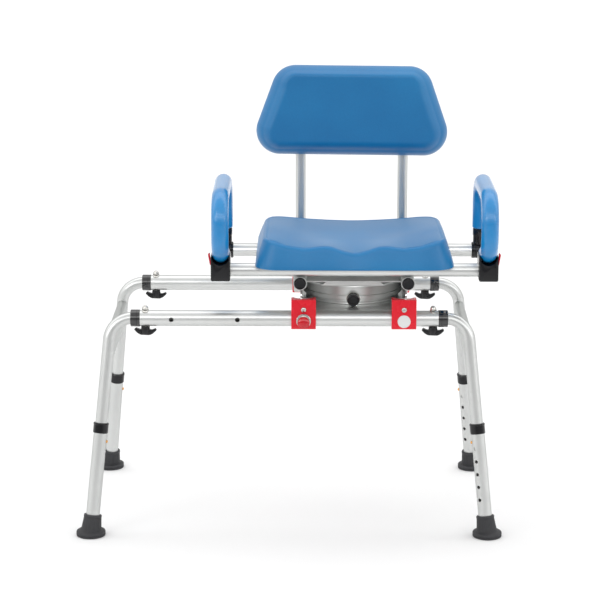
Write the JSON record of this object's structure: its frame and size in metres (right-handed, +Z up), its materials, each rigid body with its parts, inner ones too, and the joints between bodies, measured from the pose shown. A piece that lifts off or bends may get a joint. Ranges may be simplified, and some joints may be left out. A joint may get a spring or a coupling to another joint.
{
  "type": "bath transfer bench",
  "caption": "Bath transfer bench: a padded swivelling chair with lift-up armrests that slides sideways along two rails on telescopic splayed legs.",
  "frame": {"origin": "on the floor, under the middle of the base frame", "axes": "+X along the rails to the right as seen from the front, -Y towards the front, +Z up"},
  "size_m": [0.8998, 0.5474, 0.9507],
  "materials": {
    "anodised_aluminium": "satin anodised",
    "black_plastic": "fine moulded texture",
    "black_rubber": "matt moulded rubber",
    "red_plastic": "satin moulded",
    "brass": "plain",
    "blue_pad": "soft integral skin with a fine leather grain",
    "blue_foam": "smooth closed-cell foam with a soft sheen"
  },
  "bodies": {
    "frame": {"front_rail": "anodised_aluminium", "rear_rail": "anodised_aluminium", "rail_collar_fl": "black_plastic", "rail_collar_fr": "black_plastic", "rail_collar_rl": "black_plastic", "rail_collar_rr": "black_plastic", "upper_leg_fl": "anodised_aluminium", "upper_leg_fr": "anodised_aluminium", "upper_leg_rl": "anodised_aluminium", "upper_leg_rr": "anodised_aluminium", "end_brace_left": "anodised_aluminium", "end_brace_right": "anodised_aluminium"},
    "carriage": {"carriage_plate": "anodised_aluminium", "slider_bracket_fl": "red_plastic", "slider_bracket_fr": "red_plastic", "slider_bracket_rl": "red_plastic", "slider_bracket_rr": "red_plastic", "turntable_base": "anodised_aluminium"},
    "seat": {"turntable_drum": "anodised_aluminium", "seat_mount_plate": "anodised_aluminium", "seat_tube_left": "anodised_aluminium", "seat_tube_right": "anodised_aluminium", "tube_end_cap_left": "black_plastic", "tube_end_cap_right": "black_plastic", "front_cross_tube": "anodised_aluminium", "rear_cross_tube": "anodised_aluminium", "backrest_post_left": "anodised_aluminium", "backrest_post_right": "anodised_aluminium", "seat_pad": "blue_pad", "back_pad": "blue_pad", "arm_cradle_left": "black_plastic", "arm_cradle_right": "black_plastic"},
    "armrest_left": {"arm_elbow_left": "black_plastic", "arm_grip_left": "blue_foam"},
    "armrest_right": {"arm_elbow_right": "black_plastic", "arm_grip_right": "blue_foam"},
    "lever_left": {"release_lever_left": "red_plastic"},
    "lever_right": {"release_lever_right": "red_plastic"},
    "slide_knob": {"slide_lock_knob": "red_plastic"},
    "swivel_knob": {"swivel_lock_knob": "black_plastic"},
    "leg_fl": {"lower_leg_fl": "anodised_aluminium", "leg_ring_fl": "black_plastic", "rubber_foot_fl": "black_rubber"},
    "clamp_fl": {"clamp_screw_fl": "black_plastic"},
    "button_fl": {"snap_button_fl": "brass"},
    "leg_fr": {"lower_leg_fr": "anodised_aluminium", "leg_ring_fr": "black_plastic", "rubber_foot_fr": "black_rubber"},
    "clamp_fr": {"clamp_screw_fr": "black_plastic"},
    "button_fr": {"snap_button_fr": "brass"},
    "leg_rl": {"lower_leg_rl": "anodised_aluminium", "leg_ring_rl": "black_plastic", "rubber_foot_rl": "black_rubber"},
    "clamp_rl": {"clamp_screw_rl": "black_plastic"},
    "button_rl": {"snap_button_rl": "brass"},
    "leg_rr": {"lower_leg_rr": "anodised_aluminium", "leg_ring_rr": "black_plastic", "rubber_foot_rr": "black_rubber"},
    "clamp_rr": {"clamp_screw_rr": "black_plastic"},
    "button_rr": {"snap_button_rr": "brass"}
  },
  "joints": [
    {"name": "carriage_slide", "type": "slide", "parent": "frame", "child": "carriage", "axis": [1, 0, 0], "range_m": [-0.278, 0.012]},
    {"name": "seat_swivel", "type": "hinge", "parent": "carriage", "child": "seat", "pos_m": [0.1355, 0, 0.48], "axis": [0, 0, 1], "continuous": true},
    {"name": "armrest_left_lift", "type": "hinge", "parent": "seat", "child": "armrest_left", "pos_m": [-0.1415, 0.01, 0.5652], "axis": [-1, 0, 0], "range_deg": [0, 95]},
    {"name": "lever_left_press", "type": "hinge", "parent": "seat", "child": "lever_left", "pos_m": [-0.1618, -0.205, 0.5785], "axis": [0, -1, 0], "range_deg": [0, 20], "stiffness_Nm_per_rad": 0.06, "springref_deg": -8.59},
    {"name": "armrest_right_lift", "type": "hinge", "parent": "seat", "child": "armrest_right", "pos_m": [0.4125, 0.01, 0.5652], "axis": [-1, 0, 0], "range_deg": [0, 95]},
    {"name": "lever_right_press", "type": "hinge", "parent": "seat", "child": "lever_right", "pos_m": [0.4328, -0.205, 0.5785], "axis": [0, 1, 0], "range_deg": [0, 20], "stiffness_Nm_per_rad": 0.06, "springref_deg": -8.59},
    {"name": "slide_knob_pull", "type": "slide", "parent": "carriage", "child": "slide_knob", "axis": [0, -1, 0], "range_m": [0, 0.009], "stiffness_N_per_m": 600, "springref_m": -0.004},
    {"name": "swivel_knob_pull", "type": "slide", "parent": "carriage", "child": "swivel_knob", "axis": [0, -1, 0], "range_m": [0, 0.008], "stiffness_N_per_m": 600, "springref_m": -0.004},
    {"name": "leg_fl_height", "type": "slide", "parent": "frame", "child": "leg_fl", "axis": [0.0952, 0.1543, 0.9834], "range_m": [0, 0.1088]},
    {"name": "clamp_fl_turn", "type": "hinge", "parent": "frame", "child": "clamp_fl", "pos_m": [-0.3025, -0.1714, 0.43], "axis": [0, 0, 1], "continuous": true},
    {"name": "button_fl_press", "type": "slide", "parent": "frame", "child": "button_fl", "axis": [-0.9955, 0.0148, 0.094], "range_m": [0, 0.003], "stiffness_N_per_m": 900, "springref_m": -0.002},
    {"name": "leg_fr_height", "type": "slide", "parent": "frame", "child": "leg_fr", "axis": [-0.0952, 0.1543, 0.9834], "range_m": [0, 0.1088]},
    {"name": "clamp_fr_turn", "type": "hinge", "parent": "frame", "child": "clamp_fr", "pos_m": [0.3025, -0.1714, 0.43], "axis": [0, 0, 1], "continuous": true},
    {"name": "button_fr_press", "type": "slide", "parent": "frame", "child": "button_fr", "axis": [0.9955, 0.0148, 0.094], "range_m": [0, 0.003], "stiffness_N_per_m": 900, "springref_m": -0.002},
    {"name": "leg_rl_height", "type": "slide", "parent": "frame", "child": "leg_rl", "axis": [0.0952, -0.1543, 0.9834], "range_m": [0, 0.1088]},
    {"name": "clamp_rl_turn", "type": "hinge", "parent": "frame", "child": "clamp_rl", "pos_m": [-0.3025, 0.1714, 0.43], "axis": [0, 0, 1], "continuous": true},
    {"name": "button_rl_press", "type": "slide", "parent": "frame", "child": "button_rl", "axis": [-0.9955, -0.0148, 0.094], "range_m": [0, 0.003], "stiffness_N_per_m": 900, "springref_m": -0.002},
    {"name": "leg_rr_height", "type": "slide", "parent": "frame", "child": "leg_rr", "axis": [-0.0952, -0.1543, 0.9834], "range_m": [0, 0.1088]},
    {"name": "clamp_rr_turn", "type": "hinge", "parent": "frame", "child": "clamp_rr", "pos_m": [0.3025, 0.1714, 0.43], "axis": [0, 0, 1], "continuous": true},
    {"name": "button_rr_press", "type": "slide", "parent": "frame", "child": "button_rr", "axis": [0.9955, -0.0148, 0.094], "range_m": [0, 0.003], "stiffness_N_per_m": 900, "springref_m": -0.002}
  ]
}
